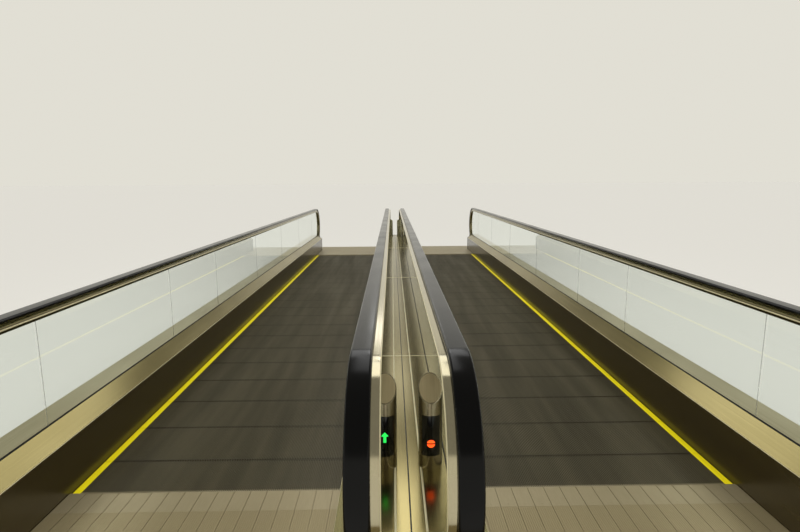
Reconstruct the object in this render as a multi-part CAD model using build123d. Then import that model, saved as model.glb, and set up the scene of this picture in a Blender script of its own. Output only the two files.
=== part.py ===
"""Twin-lane moving walkway: two pallet lanes side by side with one shared centre deck.

Millimetres. X runs across, Y along the lanes, Z up. The origin lies on the underside of the
base frame, at the middle of the installation. Both ends are alike, and so are both lanes.
"""

import math
import os

from build123d import *

# Lanes and pallets
pallet_width = 1400.0
pallet_pitch = 400.0
pallet_count = 22
pallet_depth = 60.0
pallet_joint = 4.0
pallet_top = 150.0
yellow_width = 40.0
yellow_depth = 12.0

# Grooves of the end pallets and teeth of the combs
groove_count = 36
groove_share = 0.58
groove_depth = 12.0
tooth_clearance = 2.0
tooth_length = 30.0
tooth_tip_height = 7.0
comb_cover = 85.0
comb_depth = 165.0
comb_thickness = 10.0
comb_slope_run = 45.0
comb_running_gap = 2.0

# Landings
landing_apron = 350.0
landing_thickness = 12.0
landing_side_gap = 2.0
fascia_thickness = 4.0
bearer_width = 40.0
seam = 0.5

# Base frame
pan_thickness = 8.0
beam_top = 110.0
beam_wall = 6.0
beam_width = 200.0
rail_width = 60.0
rail_inset = 140.0

# Balustrade housing, heights above the pallets
skirt_gap = 4.0
skirt_sheet = 3.0
skirt_height = 275.0
skirt_drop = 90.0
deck_rise = 350.0
deck_sheet = 4.0
nose_height = 6.0
nose_overhang = 2.0
outer_deck_reach = 155.0
cladding_sheet = 3.0
housing_past_comb = 790.0
cap_depth = 60.0
cap_wall = 5.0
tunnel_play = 6.0

# Glass, clamps and brackets
inner_glass_offset = 170.0
skirt_to_inner_glass = 111.0
skirt_to_outer_glass = 101.0
glass_thickness = 10.0
glass_joint = 3.0
glass_edge_gap = 2.0
newel_panel = 1070.0
bay_lengths = (1500.0, 1050.0, 1500.0, 1500.0, 1500.0, 1500.0)
clamp_half_width = 20.0
clamp_height = 50.0
clamp_seat = 10.0
clamp_end_gap = 23.0
clamp_slot_play = 0.3
bracket_leg_width = 40.0
bracket_leg_margin = 6.0
bracket_arm = 20.0
bracket_length = 60.0
bracket_count = 7

# Handrail and its guide, measured from the top of the rubber
newel_overhang = 240.0
handrail_top = 967.0
return_depth = 147.0
rubber_half_width = 40.0
rubber_height = 22.0
rubber_corner = 9.0
guide_half_width = 32.0
guide_height = 48.0
trim_width = 40.0
trim_sheet = 4.0
trim_drop = 2.0

# Centre deck and its support
cover_half_width = 55.0
spine_sheet = 4.0

# Signal posts on the centre deck
post_offset = 96.0
post_setback = 675.0
post_radius = 50.0
post_front_height = 295.0
window_width = 74.0
window_bottom = 63.0
window_height = 178.0
window_depth = 4.0
window_play = 0.3

# How far a cutting shape runs past what it cuts
overcut = 1.0

lane_names = {"left": -1, "right": 1}
end_signs = (-1, 1)

# Places across the lanes, from the centre line
skirt_face = pallet_width / 2 + skirt_gap
lane_centre = inner_glass_offset + skirt_to_inner_glass + skirt_face
outer_glass_offset = lane_centre + skirt_face + skirt_to_outer_glass
outer_width = outer_glass_offset + outer_deck_reach
inner_beam_edge = lane_centre - skirt_face - skirt_sheet - beam_width
outer_beam_edge = lane_centre + skirt_face + skirt_sheet + beam_width
spine_half_width = inner_beam_edge + bracket_leg_margin

# Places along the lanes, from the middle
track_half = pallet_count * pallet_pitch / 2
comb_line = track_half - comb_cover
housing_half = comb_line + housing_past_comb
newel_front = housing_half + newel_overhang
half_length = newel_front + landing_apron

# Heights, and the newel that follows from them
landing_top = pallet_top + comb_running_gap + comb_thickness
deck_top = pallet_top + deck_rise
rubber_top = pallet_top + handrail_top
newel_radius = (rubber_top - deck_top + return_depth) / 2
arc_centre = newel_front - newel_radius
arc_height = rubber_top - newel_radius
guide_drop = rubber_height + guide_height
cap_reach = housing_half + cap_depth - arc_centre
cap_rise = guide_drop + newel_radius - math.sqrt(newel_radius**2 - cap_reach**2)

parts = {}


def keep(name, *solids):
    """Collect the solids of one named piece."""
    parts.setdefault(name, []).extend(solids)


def block(x0, x1, y0, y1, z0, z1):
    """A plain box between two corners, given in any order."""
    size = (abs(x1 - x0), abs(y1 - y0), abs(z1 - z0))
    middle = ((x0 + x1) / 2, (y0 + y1) / 2, (z0 + z1) / 2)
    return Pos(*middle) * Box(*size)


def cross_section(points, holes=()):
    """A face across the lanes from (x, z) points, less rectangles (x0, x1, z0, z1)."""
    face = make_face(Polyline(*[(x, 0, z) for x, z in points], close=True))
    for x0, x1, z0, z1 in holes:
        corners = [(x0, 0, z0), (x1, 0, z0), (x1, 0, z1), (x0, 0, z1)]
        face = (face - make_face(Polyline(*corners, close=True))).face()
    return face.face()


def run_along(face, y0, y1):
    """Carry a cross-section straight along the lane from y0 to y1."""
    return Pos(0, y0, 0) * extrude(face, amount=y1 - y0, dir=(0, 1, 0))


def side_profile(points, x0, x1):
    """A solid across the lane from x0 to x1 with an outline of (y, z) points."""
    face = make_face(Polyline(*[(0, y, z) for y, z in points], close=True))
    return Pos(x0, 0, 0) * extrude(face, amount=x1 - x0, dir=(1, 0, 0))


def base_frame(side):
    """Bottom pan of one lane with the hollow beams that carry its balustrades."""
    beams = ((outer_beam_edge - beam_width, outer_beam_edge),
             (inner_beam_edge, inner_beam_edge + beam_width))
    outline = [(0, 0), (outer_width, 0), (outer_width, pan_thickness)]
    for low, high in beams:
        outline += [(high, pan_thickness), (high, beam_top), (low, beam_top), (low, pan_thickness)]
    outline.append((0, pan_thickness))
    holes = [(low + beam_wall, high - beam_wall, pan_thickness, beam_top - beam_wall)
             for low, high in beams]
    points = [(side * x, z) for x, z in outline]
    cuts = [(side * a, side * b, c, d) for a, b, c, d in holes]
    length = half_length - fascia_thickness
    return run_along(cross_section(points, cuts), -length, length)


def track_rails(side):
    """Two rails under the pallets of one lane."""
    low, high = pan_thickness, pallet_top - pallet_depth
    for edge in (-1, 1):
        middle = side * lane_centre + edge * (pallet_width / 2 - rail_inset)
        yield block(middle - rail_width / 2, middle + rail_width / 2, -track_half, track_half,
                    low, high)


def pallet_outline(side, grooved):
    """Cross-section of a pallet, with the rebates for its yellow edges."""
    low = pallet_top - pallet_depth
    half, inner = pallet_width / 2, pallet_width / 2 - yellow_width
    shelf = pallet_top - yellow_depth
    top = [(inner, pallet_top)]
    if grooved:
        pitch = 2 * inner / groove_count
        half_groove = pitch * groove_share / 2
        for number in reversed(range(groove_count)):
            middle = -inner + pitch * (number + 0.5)
            right, left = middle + half_groove, middle - half_groove
            top += [(right, pallet_top), (right, pallet_top - groove_depth),
                    (left, pallet_top - groove_depth), (left, pallet_top)]
    top.append((-inner, pallet_top))
    outline = [(-half, low), (half, low), (half, shelf), (inner, shelf)] + top
    outline += [(-inner, shelf), (-half, shelf)]
    return [(side * lane_centre + x, z) for x, z in outline]


def pallets(side):
    """All pallets of one lane and their yellow edge inserts."""
    plain = cross_section(pallet_outline(side, False))
    grooved = cross_section(pallet_outline(side, True))
    body, ends, yellow = [], [], []
    for number in range(pallet_count):
        start = -track_half + number * pallet_pitch + pallet_joint / 2
        stop = start + pallet_pitch - pallet_joint
        at_comb = number in (0, pallet_count - 1)
        (ends if at_comb else body).append(run_along(grooved if at_comb else plain, start, stop))
        for edge in (-1, 1):
            outer = side * lane_centre + edge * pallet_width / 2
            yellow.append(block(outer, outer - edge * yellow_width, start, stop,
                                pallet_top - yellow_depth, pallet_top))
    return body, ends, yellow


def comb(side, end):
    """Comb plate at one end of a lane, its teeth lying in the pallet grooves."""
    low = pallet_top + comb_running_gap
    groove_floor = pallet_top - groove_depth + tooth_clearance
    tip = comb_line - tooth_length
    outline = [(tip, groove_floor), (tip, groove_floor + tooth_tip_height),
               (tip + comb_slope_run, landing_top), (comb_line + comb_depth, landing_top),
               (comb_line + comb_depth, low), (comb_line, low), (comb_line, groove_floor)]
    half, inner = pallet_width / 2, pallet_width / 2 - yellow_width
    middle = side * lane_centre
    points = [(end * y, z) for y, z in outline]
    plate = side_profile(points, middle - half, middle + half)
    pitch = 2 * inner / groove_count
    tooth = pitch * groove_share - 2 * tooth_clearance
    gaps = [(-half, -inner + (pitch - tooth) / 2)]
    gaps += [(-inner + pitch * n - (pitch - tooth) / 2, -inner + pitch * n + (pitch - tooth) / 2)
             for n in range(1, groove_count)]
    gaps.append((inner - (pitch - tooth) / 2, half))
    slots = [block(middle + a, middle + b, end * (tip - overcut), end * comb_line,
                   groove_floor - overcut, landing_top + overcut) for a, b in gaps]
    return plate - slots


def landing(side, end):
    """Landing plate of one lane at one end."""
    middle = side * lane_centre
    half = pallet_width / 2 + landing_side_gap
    return block(middle - half, middle + half, end * (comb_line + comb_depth + seam),
                 end * half_length, landing_top - landing_thickness, landing_top)


def newel_floor(side, end):
    """Floor plates under the newels, level with the landing plate."""
    low = landing_top - landing_thickness
    for a, b in ((seam, lane_centre - skirt_face), (lane_centre + skirt_face, outer_width)):
        yield block(side * a, side * b, end * housing_half, end * half_length, low, landing_top)


def bearers(side, end):
    """Cross bars on the beams that carry the comb, the landing and the newel floor."""
    low, high = beam_top, landing_top - landing_thickness
    inner_edge = lane_centre - pallet_width / 2
    outer_edge = lane_centre + pallet_width / 2
    front = half_length - fascia_thickness
    comb_bar = comb_line + comb_depth - bearer_width
    yield block(side * inner_edge, side * outer_edge, end * comb_bar,
                end * (comb_bar + 1.5 * bearer_width), low, high)
    for start in (housing_half, front - bearer_width):
        yield block(side * seam, side * (outer_width - cladding_sheet), end * start,
                    end * (start + bearer_width), low, high)


def skirt(plane_sign, side):
    """Vertical skirt panel; plane_sign is 1 on the outer and -1 on the inner side of a lane."""
    face = lane_centre + plane_sign * skirt_face
    back = face + plane_sign * skirt_sheet
    return block(side * face, side * back, -housing_half, housing_half,
                 pallet_top - skirt_drop, pallet_top + skirt_height)


def sloping_deck(plane_sign, side):
    """Inner deck that slopes from the top of the skirt up to the glass."""
    face = lane_centre + plane_sign * skirt_face
    plane = outer_glass_offset if plane_sign > 0 else inner_glass_offset
    start = face - plane_sign * nose_overhang
    back = face + plane_sign * skirt_sheet
    stop = plane - plane_sign * (glass_thickness / 2 + glass_edge_gap)
    base = pallet_top + skirt_height
    slope = (deck_top - base - nose_height) / abs(stop - start)
    under_nose = base + nose_height + slope * abs(back - start) - deck_sheet
    points = [(start, base), (start, base + nose_height), (stop, deck_top),
              (stop, deck_top - deck_sheet), (back, under_nose), (back, base)]
    return run_along(cross_section([(side * x, z) for x, z in points]),
                     -housing_half, housing_half), slope


def outer_deck(side):
    """Flat deck outside the outer glass."""
    start = outer_glass_offset + glass_thickness / 2 + glass_edge_gap
    return block(side * start, side * outer_width, -housing_half, housing_half,
                 deck_top - deck_sheet, deck_top)


def outer_cladding(side):
    """Outside wall of the housing and the low sills past its ends."""
    x0, x1 = side * (outer_width - cladding_sheet), side * outer_width
    yield block(x0, x1, -housing_half, housing_half, pan_thickness, deck_top - deck_sheet)
    for end in end_signs:
        yield block(x0, x1, end * housing_half, end * (half_length - fascia_thickness),
                    pan_thickness, landing_top - landing_thickness)


def end_fascia(end):
    """Plate that closes the front of the landing frame across both lanes."""
    start = half_length - fascia_thickness
    return block(-outer_width, outer_width, end * start, end * half_length,
                 0, landing_top - landing_thickness)


def centre_deck(side):
    """Flat deck plate and centre cover plate of one half of the centre deck."""
    edge = inner_glass_offset - glass_thickness / 2 - glass_edge_gap
    plate = block(side * edge, side * (cover_half_width + seam), -housing_half, housing_half,
                  deck_top - deck_sheet, deck_top)
    cover = block(side * cover_half_width, side * seam, -housing_half, housing_half,
                  deck_top - deck_sheet, deck_top)
    return plate, cover


def centre_spine():
    """Channel under the centre deck that stands on the inner beams."""
    half, top = spine_half_width, deck_top - deck_sheet
    points = [(-half, beam_top), (-half, top), (half, top), (half, beam_top),
              (half - spine_sheet, beam_top), (half - spine_sheet, top - spine_sheet),
              (-half + spine_sheet, top - spine_sheet), (-half + spine_sheet, beam_top)]
    return run_along(cross_section(points), -housing_half, housing_half)


def glass_clamp(side, plane_sign, deck_slope):
    """Clamp profile of one glass row with the brackets that carry it on the beam."""
    offset = outer_glass_offset if plane_sign > 0 else inner_glass_offset
    beam_edge = outer_beam_edge if plane_sign > 0 else inner_beam_edge
    plane, out = side * offset, side * plane_sign
    base = deck_top - deck_sheet - clamp_height - clamp_seat
    floor = base + clamp_seat
    half, slot = clamp_half_width, glass_thickness / 2 + clamp_slot_play
    lane_top = deck_top - deck_sheet - deck_slope * (half - glass_thickness / 2 - glass_edge_gap)
    deck_under = deck_top - deck_sheet
    points = [(-half, base), (half, base), (half, deck_under), (slot, deck_under), (slot, floor),
              (-slot, floor), (-slot, lane_top), (-half, lane_top)]
    length = arc_centre - clamp_end_gap
    section = cross_section([(plane + out * x, z) for x, z in points])
    clamp = run_along(section, -length, length)
    leg_far = abs(beam_edge - offset) - bracket_leg_margin
    leg_near = leg_far - bracket_leg_width
    arm_low = base - bracket_arm
    elbow = [(-half, arm_low), (leg_near, arm_low), (leg_near, beam_top), (leg_far, beam_top),
             (leg_far, base), (-half, base)]
    face = cross_section([(plane + out * x, z) for x, z in elbow])
    pitch = 2 * (length - bracket_length) / (bracket_count - 1)
    for number in range(bracket_count):
        middle = -(length - bracket_length) + number * pitch
        clamp += run_along(face, middle - bracket_length / 2, middle + bracket_length / 2)
    return clamp


def glass_row(plane):
    """Glass panels of one balustrade, with round newel panels at both ends."""
    top = rubber_top - guide_drop
    low = deck_top - deck_sheet - clamp_height
    radius = top - arc_height
    x0, x1 = plane - glass_thickness / 2, plane + glass_thickness / 2
    panels = []
    reach = newel_front - newel_panel
    for end in end_signs:
        flat = block(x0, x1, end * (reach + glass_joint / 2), end * arc_centre, low, top)
        disc = Pos(plane, end * arc_centre, arc_height) * Rot(0, 90, 0)
        disc *= Cylinder(radius, glass_thickness)
        keep_half = block(x0 - overcut, x1 + overcut, end * arc_centre, end * newel_front,
                          arc_height - radius - overcut, arc_height + radius + overcut)
        panels.append(flat + (disc & keep_half))
    start = -reach
    scale = 2 * reach / sum(bay_lengths)
    for bay in bay_lengths:
        stop = start + bay * scale
        panels.append(block(x0, x1, start + glass_joint / 2, stop - glass_joint / 2, low, top))
        start = stop
    return panels


def newel_bend(plane, face, end):
    """Carry a section half a turn round one newel."""
    start = Pos(0, end * arc_centre, 0) * face
    axis = Axis((plane, end * arc_centre, arc_height), (-end, 0, 0))
    return revolve(start, axis=axis, revolution_arc=180)


def rail_section(plane, points):
    """Section at the top of a balustrade from (offset from the plane, depth below the top)."""
    return cross_section([(plane + x, rubber_top - depth) for x, depth in points])


def handrail(plane):
    """Rubber handrail as one closed loop round the balustrade."""
    half, corner = rubber_half_width, rubber_corner
    face = rail_section(plane, [(-half, corner), (-half + corner, 0), (half - corner, 0),
                                (half, corner), (half, rubber_height), (-half, rubber_height)])
    loop = run_along(face, -arc_centre, arc_centre)
    for end in end_signs:
        loop += newel_bend(plane, face, end)
    below = face.rotate(Axis((plane, 0, arc_height), (0, 1, 0)), 180)
    return loop + run_along(below, -arc_centre, arc_centre)


def guide_run(plane, points):
    """A straight length and two newel bends of one guide profile, butted end to end."""
    face = rail_section(plane, points)
    yield run_along(face, -arc_centre, arc_centre)
    for end in end_signs:
        yield newel_bend(plane, face, end)


def handrail_guide(plane):
    """Polished guide between the rubber and the edge of the glass."""
    half, top, low = guide_half_width, rubber_height, guide_drop
    return guide_run(plane, [(-half, top), (half, top), (half, low), (-half, low)])


def handrail_trim(plane, out):
    """Polished strip beside an inner handrail, on the side of the centre deck."""
    near, far = out * guide_half_width, out * (guide_half_width + trim_width)
    top = rubber_height + trim_drop
    return guide_run(plane, [(near, top), (far, top), (far, top + trim_sheet),
                             (near, top + trim_sheet)])


def inlet_cap(plane_sign, side, end):
    """Moulded end of a balustrade housing, open for the handrail and slotted for the glass."""
    face = lane_centre + plane_sign * skirt_face
    plane = outer_glass_offset if plane_sign > 0 else inner_glass_offset
    far = outer_width if plane_sign > 0 else seam
    stop = plane - plane_sign * (glass_thickness / 2 + glass_edge_gap)
    low, shoulder = landing_top, pallet_top + skirt_height
    outline = [(face, low), (face, shoulder), (stop, deck_top), (far, deck_top), (far, low)]
    section = cross_section([(side * x, z) for x, z in outline])
    y0, y1 = sorted((end * housing_half, end * (housing_half + cap_depth)))
    shell = run_along(section, y0, y1)
    wall = cap_wall
    inward = plane_sign * wall
    hollow = [(face + inward, low - overcut), (face + inward, shoulder - wall / 2),
              (stop, deck_top - wall), (far - inward, deck_top - wall),
              (far - inward, low - overcut)]
    core = cross_section([(side * x, z) for x, z in hollow])
    y0, y1 = sorted((end * (housing_half - overcut), end * (housing_half + cap_depth - wall)))
    shell -= run_along(core, y0, y1)
    reach_low = arc_height - newel_radius - tunnel_play
    reach_high = arc_height - newel_radius + cap_rise + tunnel_play
    tunnel_half = rubber_half_width + tunnel_play
    trim_edge = guide_half_width + trim_width
    trim_side = tunnel_half if plane_sign > 0 else trim_edge + tunnel_play
    shell -= block(side * (plane - trim_side), side * (plane + tunnel_half),
                   end * (housing_half + cap_depth / 2),
                   end * (housing_half + cap_depth + overcut), reach_low, reach_high)
    slot = glass_thickness / 2 + glass_edge_gap
    shell -= block(side * plane - slot, side * plane + slot, end * (housing_half - overcut),
                   end * (housing_half + cap_depth + overcut), reach_high - overcut,
                   deck_top + overcut)
    return shell


def signal_post(side, end):
    """Round post with a slanted top and a curved black window facing the approaching rider."""
    height = post_front_height + 2 * post_radius
    middle_y = end * (newel_front - post_setback)
    place = Pos(side * post_offset, middle_y, deck_top)
    body = Cylinder(post_radius, height, align=(Align.CENTER, Align.CENTER, Align.MIN))
    past = post_radius + overcut
    cut = side_profile([(end * past, post_front_height - overcut), (end * past, height + overcut),
                        (-end * past, height + overcut)], -past, past)
    body -= cut
    ring = Cylinder(post_radius, window_height) - Cylinder(post_radius - window_depth, window_height)
    front = block(-window_width / 2, window_width / 2, 0, end * past,
                  -window_height / 2, window_height / 2)
    pocket = Pos(0, 0, window_bottom + window_height / 2) * (ring & front)
    body -= pocket
    slim = window_play
    tall = window_height - 2 * slim
    ring = Cylinder(post_radius, tall) - Cylinder(post_radius - window_depth + slim, tall)
    front = block(-window_width / 2 + slim, window_width / 2 - slim, 0, end * past,
                  -tall / 2, tall / 2)
    window = Pos(0, 0, window_bottom + window_height / 2) * (ring & front)
    return place * body, place * window


def build():
    """Make every piece of the walkway."""
    for lane, side in lane_names.items():
        keep(f"{lane}_base_frame", base_frame(side))
        keep("track_rails", *track_rails(side))
        body, ends, yellow = pallets(side)
        keep(f"{lane}_pallets", *body)
        keep(f"{lane}_comb_pallets", *ends)
        keep("yellow_pallet_edges", *yellow)
        for end in end_signs:
            keep(f"{lane}_combs", comb(side, end))
            keep(f"{lane}_landing_plates", landing(side, end))
            keep("newel_floor_plates", *newel_floor(side, end))
            keep("landing_bearers", *bearers(side, end))
            post, window = signal_post(side, end)
            keep("signal_posts", post)
            keep("post_windows", window)
        keep("outer_decks", outer_deck(side))
        keep("outer_claddings", *outer_cladding(side))
        plate, cover = centre_deck(side)
        keep("centre_deck_plates", plate)
        keep("centre_cover_plates", cover)
        for name, plane_sign in (("outer", 1), ("inner", -1)):
            plane = side * (outer_glass_offset if plane_sign > 0 else inner_glass_offset)
            keep(f"{lane}_{name}_skirt", skirt(plane_sign, side))
            deck, slope = sloping_deck(plane_sign, side)
            keep(f"{lane}_sloping_decks", deck)
            keep(f"{name}_glass_clamps", glass_clamp(side, plane_sign, slope))
            keep(f"{lane}_{name}_glass", *glass_row(plane))
            keep(f"{lane}_{name}_handrail_guide", *handrail_guide(plane))
            keep(f"{lane}_{name}_handrail", handrail(plane))
            for end in end_signs:
                keep("handrail_inlet_caps", inlet_cap(plane_sign, side, end))
        keep(f"{lane}_inner_handrail_trim", *handrail_trim(side * inner_glass_offset, -side))
    keep("centre_spine", centre_spine())
    for end in end_signs:
        keep("end_fascias", end_fascia(end))


build()
os.makedirs("parts", exist_ok=True)
for name, solids in parts.items():
    flat = [solid for item in solids for solid in item.solids()]
    export_step(Compound(children=flat) if len(flat) > 1 else flat[0], f"parts/{name}.step")
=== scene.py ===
"""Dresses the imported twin-lane moving walkway: finishes, fine parts, studio and camera.

Metres, +Z up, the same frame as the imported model: X across the lanes, Y along them.
"""

import logging
import math
from dataclasses import dataclass, field
from enum import Enum
from typing import Any, Sequence

import bmesh
import bpy
from mathutils import Matrix, Vector


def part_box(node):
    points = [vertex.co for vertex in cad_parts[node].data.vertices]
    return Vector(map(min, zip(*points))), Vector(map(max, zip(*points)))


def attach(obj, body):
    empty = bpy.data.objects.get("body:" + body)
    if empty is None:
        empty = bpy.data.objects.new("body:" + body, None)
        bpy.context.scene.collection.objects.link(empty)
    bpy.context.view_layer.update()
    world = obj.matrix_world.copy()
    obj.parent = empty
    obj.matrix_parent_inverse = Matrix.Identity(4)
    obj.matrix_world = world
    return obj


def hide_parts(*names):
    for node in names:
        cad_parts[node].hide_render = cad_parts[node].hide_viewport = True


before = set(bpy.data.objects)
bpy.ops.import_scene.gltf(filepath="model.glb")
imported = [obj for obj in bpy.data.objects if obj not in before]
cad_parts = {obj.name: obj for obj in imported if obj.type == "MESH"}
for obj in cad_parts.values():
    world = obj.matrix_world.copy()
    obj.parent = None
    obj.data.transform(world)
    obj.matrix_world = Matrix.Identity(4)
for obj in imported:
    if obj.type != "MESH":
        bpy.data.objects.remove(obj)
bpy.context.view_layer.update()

log = logging.getLogger("walkway")

MM = 0.001
Point2 = tuple[float, float]
Point3 = tuple[float, float, float]
Colour = tuple[float, float, float, float]
Socket = bpy.types.NodeSocket
Tree = bpy.types.NodeTree

# most of a noise texture's values lie between these
USUAL_NOISE = (0.3, 0.7)


class Side(Enum):
    """One of two sides, with its sign as its value."""

    @property
    def word(self) -> str:
        """The side's name in node and piece names."""
        return self.name.lower()


class Lane(Side):
    """The two lanes, by the sign of their X."""

    LEFT = -1
    RIGHT = 1


class Row(Side):
    """The two glass rows of a lane: beyond its outer edge, or beside the centre deck."""

    OUTER = 1
    INNER = -1


class End(Side):
    """The two ends of the walkway, by the sign of their Y."""

    NEAR = -1
    FAR = 1


class Signal(Enum):
    """What the window of a post shows."""

    ENTER_ARROW = "arrow"
    NO_ENTRY_DISC = "disc"


class Shading(Enum):
    """How much a large face sways the normals beside it, as Blender's weight."""

    WIDE_FACES_FLAT = 100
    CURVED_SECTION = 50


def linear(hex_colour: str, alpha: float = 1.0) -> Colour:
    """Turn an sRGB hex colour into linear values.

    Args:
        hex_colour: Six hex digits after a hash sign.
        alpha: The fourth value.

    Returns:
        Linear red, green, blue and alpha.
    """
    def channel(start: int) -> float:
        """One channel of the colour in linear light."""
        value = int(hex_colour[start:start + 2], 16) / 255
        return value / 12.92 if value <= 0.04045 else ((value + 0.055) / 1.055) ** 2.4

    return (channel(1), channel(3), channel(5), alpha)


def add_node(tree: Tree, kind: str, inputs: dict[str | int, Any] | None = None,
             **settings: Any) -> bpy.types.Node:
    """Add a node to a tree with its settings, values and links.

    Args:
        tree: The node tree.
        kind: The node's type name.
        inputs: Value or source socket for each input, by name or index.
        settings: Properties of the node itself.

    Returns:
        The new node.
    """
    node = tree.nodes.new(kind)
    for key, value in settings.items():
        setattr(node, key, value)
    for key, value in (inputs or {}).items():
        if isinstance(value, Socket):
            tree.links.new(value, node.inputs[key])
        else:
            node.inputs[key].default_value = value
    return node


def add_texture(tree: Tree, kind: str, size_mm: Point3, **inputs: float) -> Socket:
    """Add a texture whose grains have a real size along each axis.

    Args:
        tree: The node tree.
        kind: The texture node's type name.
        size_mm: Length of a grain along X, Y and Z in millimetres.
        inputs: Other inputs of the texture, such as Detail.

    Returns:
        The texture's value, from 0 to 1.
    """
    place = add_node(tree, "ShaderNodeTexCoord").outputs["Object"]
    scale = tuple(1 / (length * MM) for length in size_mm)
    mapped = add_node(tree, "ShaderNodeMapping", {"Vector": place, "Scale": scale})
    return add_node(tree, kind, {
        "Vector": mapped.outputs[0], "Scale": 1.0, **inputs}).outputs[0]


@dataclass(frozen=True)
class Finish:
    """A real material and how its surface was made.

    Attributes:
        name: Name of the Blender material.
        colour: Base colour as sRGB hex.
        slot: Material slot of the record; not used by this script.
        metallic: 1 for bare metal, 0 for the rest.
        roughness: Mean roughness.
        extra: Constant values for other sockets of the shader.
    """

    name: str
    colour: str
    slot: str
    metallic: float = 0.0
    roughness: float = 0.5
    extra: tuple[tuple[str, Any], ...] = ()

    def pattern(self, tree: Tree, shader: bpy.types.Node) -> None:
        """Add the surface pattern; the plain finish has none."""

    def material(self) -> bpy.types.Material:
        """Make the material once and return it.

        Returns:
            The Blender material of this finish.
        """
        made = bpy.data.materials.get(self.name)
        if made:
            return made
        made = bpy.data.materials.new(self.name)
        made.use_nodes = True
        tree = made.node_tree
        tree.nodes.clear()
        shader = add_node(tree, "ShaderNodeBsdfPrincipled", {
            "Base Color": linear(self.colour), "Metallic": self.metallic,
            "Roughness": self.roughness, **dict(self.extra)})
        self.pattern(tree, shader)
        add_node(tree, "ShaderNodeOutputMaterial", {"Surface": shader.outputs[0]})
        made.diffuse_color = linear(self.colour)
        return made


@dataclass(frozen=True)
class Patterned(Finish):
    """A finish whose colour, gloss and relief follow noise of a real size.

    Attributes:
        second: The pattern's other colour as sRGB hex.
        reach: Noise at which the main colour holds, and noise at which the second does.
        swing: Change of roughness at weak and at strong noise.
        relief_mm: Depth of the relief.
        grain_mm: Length of a grain along X, Y and Z.
        detail: Octaves of the noise.
    """

    second: str = "#808080"
    reach: Point2 = USUAL_NOISE
    swing: Point2 = (-0.02, 0.03)
    relief_mm: float = 0.0
    grain_mm: Point3 = (60.0, 60.0, 60.0)
    detail: float = 3.0

    def noises(self, tree: Tree) -> tuple[Socket, Socket, Socket]:
        """Noises for colour, gloss and relief, here one for all."""
        grain = add_texture(tree, "ShaderNodeTexNoise", self.grain_mm, Detail=self.detail)
        return grain, grain, grain

    def pattern(self, tree: Tree, shader: bpy.types.Node) -> None:
        """Let the noises change the colour, the gloss and the relief.

        Args:
            tree: The node tree.
            shader: The surface shader.
        """
        shade, gloss, height = self.noises(tree)
        share = add_node(tree, "ShaderNodeMapRange", {
            "Value": shade, "From Min": self.reach[0], "From Max": self.reach[1]})
        mixed = add_node(tree, "ShaderNodeMix", {
            0: share.outputs[0], 6: linear(self.colour), 7: linear(self.second)},
            data_type="RGBA")
        rough = add_node(tree, "ShaderNodeMapRange", {
            "Value": gloss, "From Min": USUAL_NOISE[0], "From Max": USUAL_NOISE[1],
            "To Min": self.roughness + self.swing[0],
            "To Max": self.roughness + self.swing[1]})
        tree.links.new(mixed.outputs[2], shader.inputs["Base Color"])
        tree.links.new(rough.outputs[0], shader.inputs["Roughness"])
        if self.relief_mm > 0:
            relief = add_node(tree, "ShaderNodeBump", {
                "Strength": 1.0, "Distance": self.relief_mm * MM, "Height": height})
            tree.links.new(relief.outputs[0], shader.inputs["Normal"])


@dataclass(frozen=True)
class BrushedMetal(Patterned):
    """Stainless steel or aluminium, brushed, drawn or extruded: soft streaks, satin glint.

    The real scratches are about 0.05 mm apart; they are drawn 1 mm apart or more to show.
    """

    second: str = "#8f8a7c"
    metallic: float = 1.0
    roughness: float = 0.3
    reach: Point2 = (0.42, 0.10)
    relief_mm: float = 0.0008
    grain_mm: Point3 = (1.0, 300.0, 1.0)
    handling_mm: Point3 = (380.0, 900.0, 380.0)
    handling_detail: float = 2.0

    def noises(self, tree: Tree) -> tuple[Socket, Socket, Socket]:
        """Add streaks for gloss and relief, and clouding from handling for colour.

        Args:
            tree: The node tree.

        Returns:
            Noises for colour, gloss and relief.
        """
        streak, _, _ = super().noises(tree)
        cloud = add_texture(tree, "ShaderNodeTexNoise", self.handling_mm,
                            Detail=self.handling_detail)
        both = add_node(tree, "ShaderNodeMath", {0: streak, 1: cloud}, operation="MULTIPLY")
        return both.outputs[0], streak, streak


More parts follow.
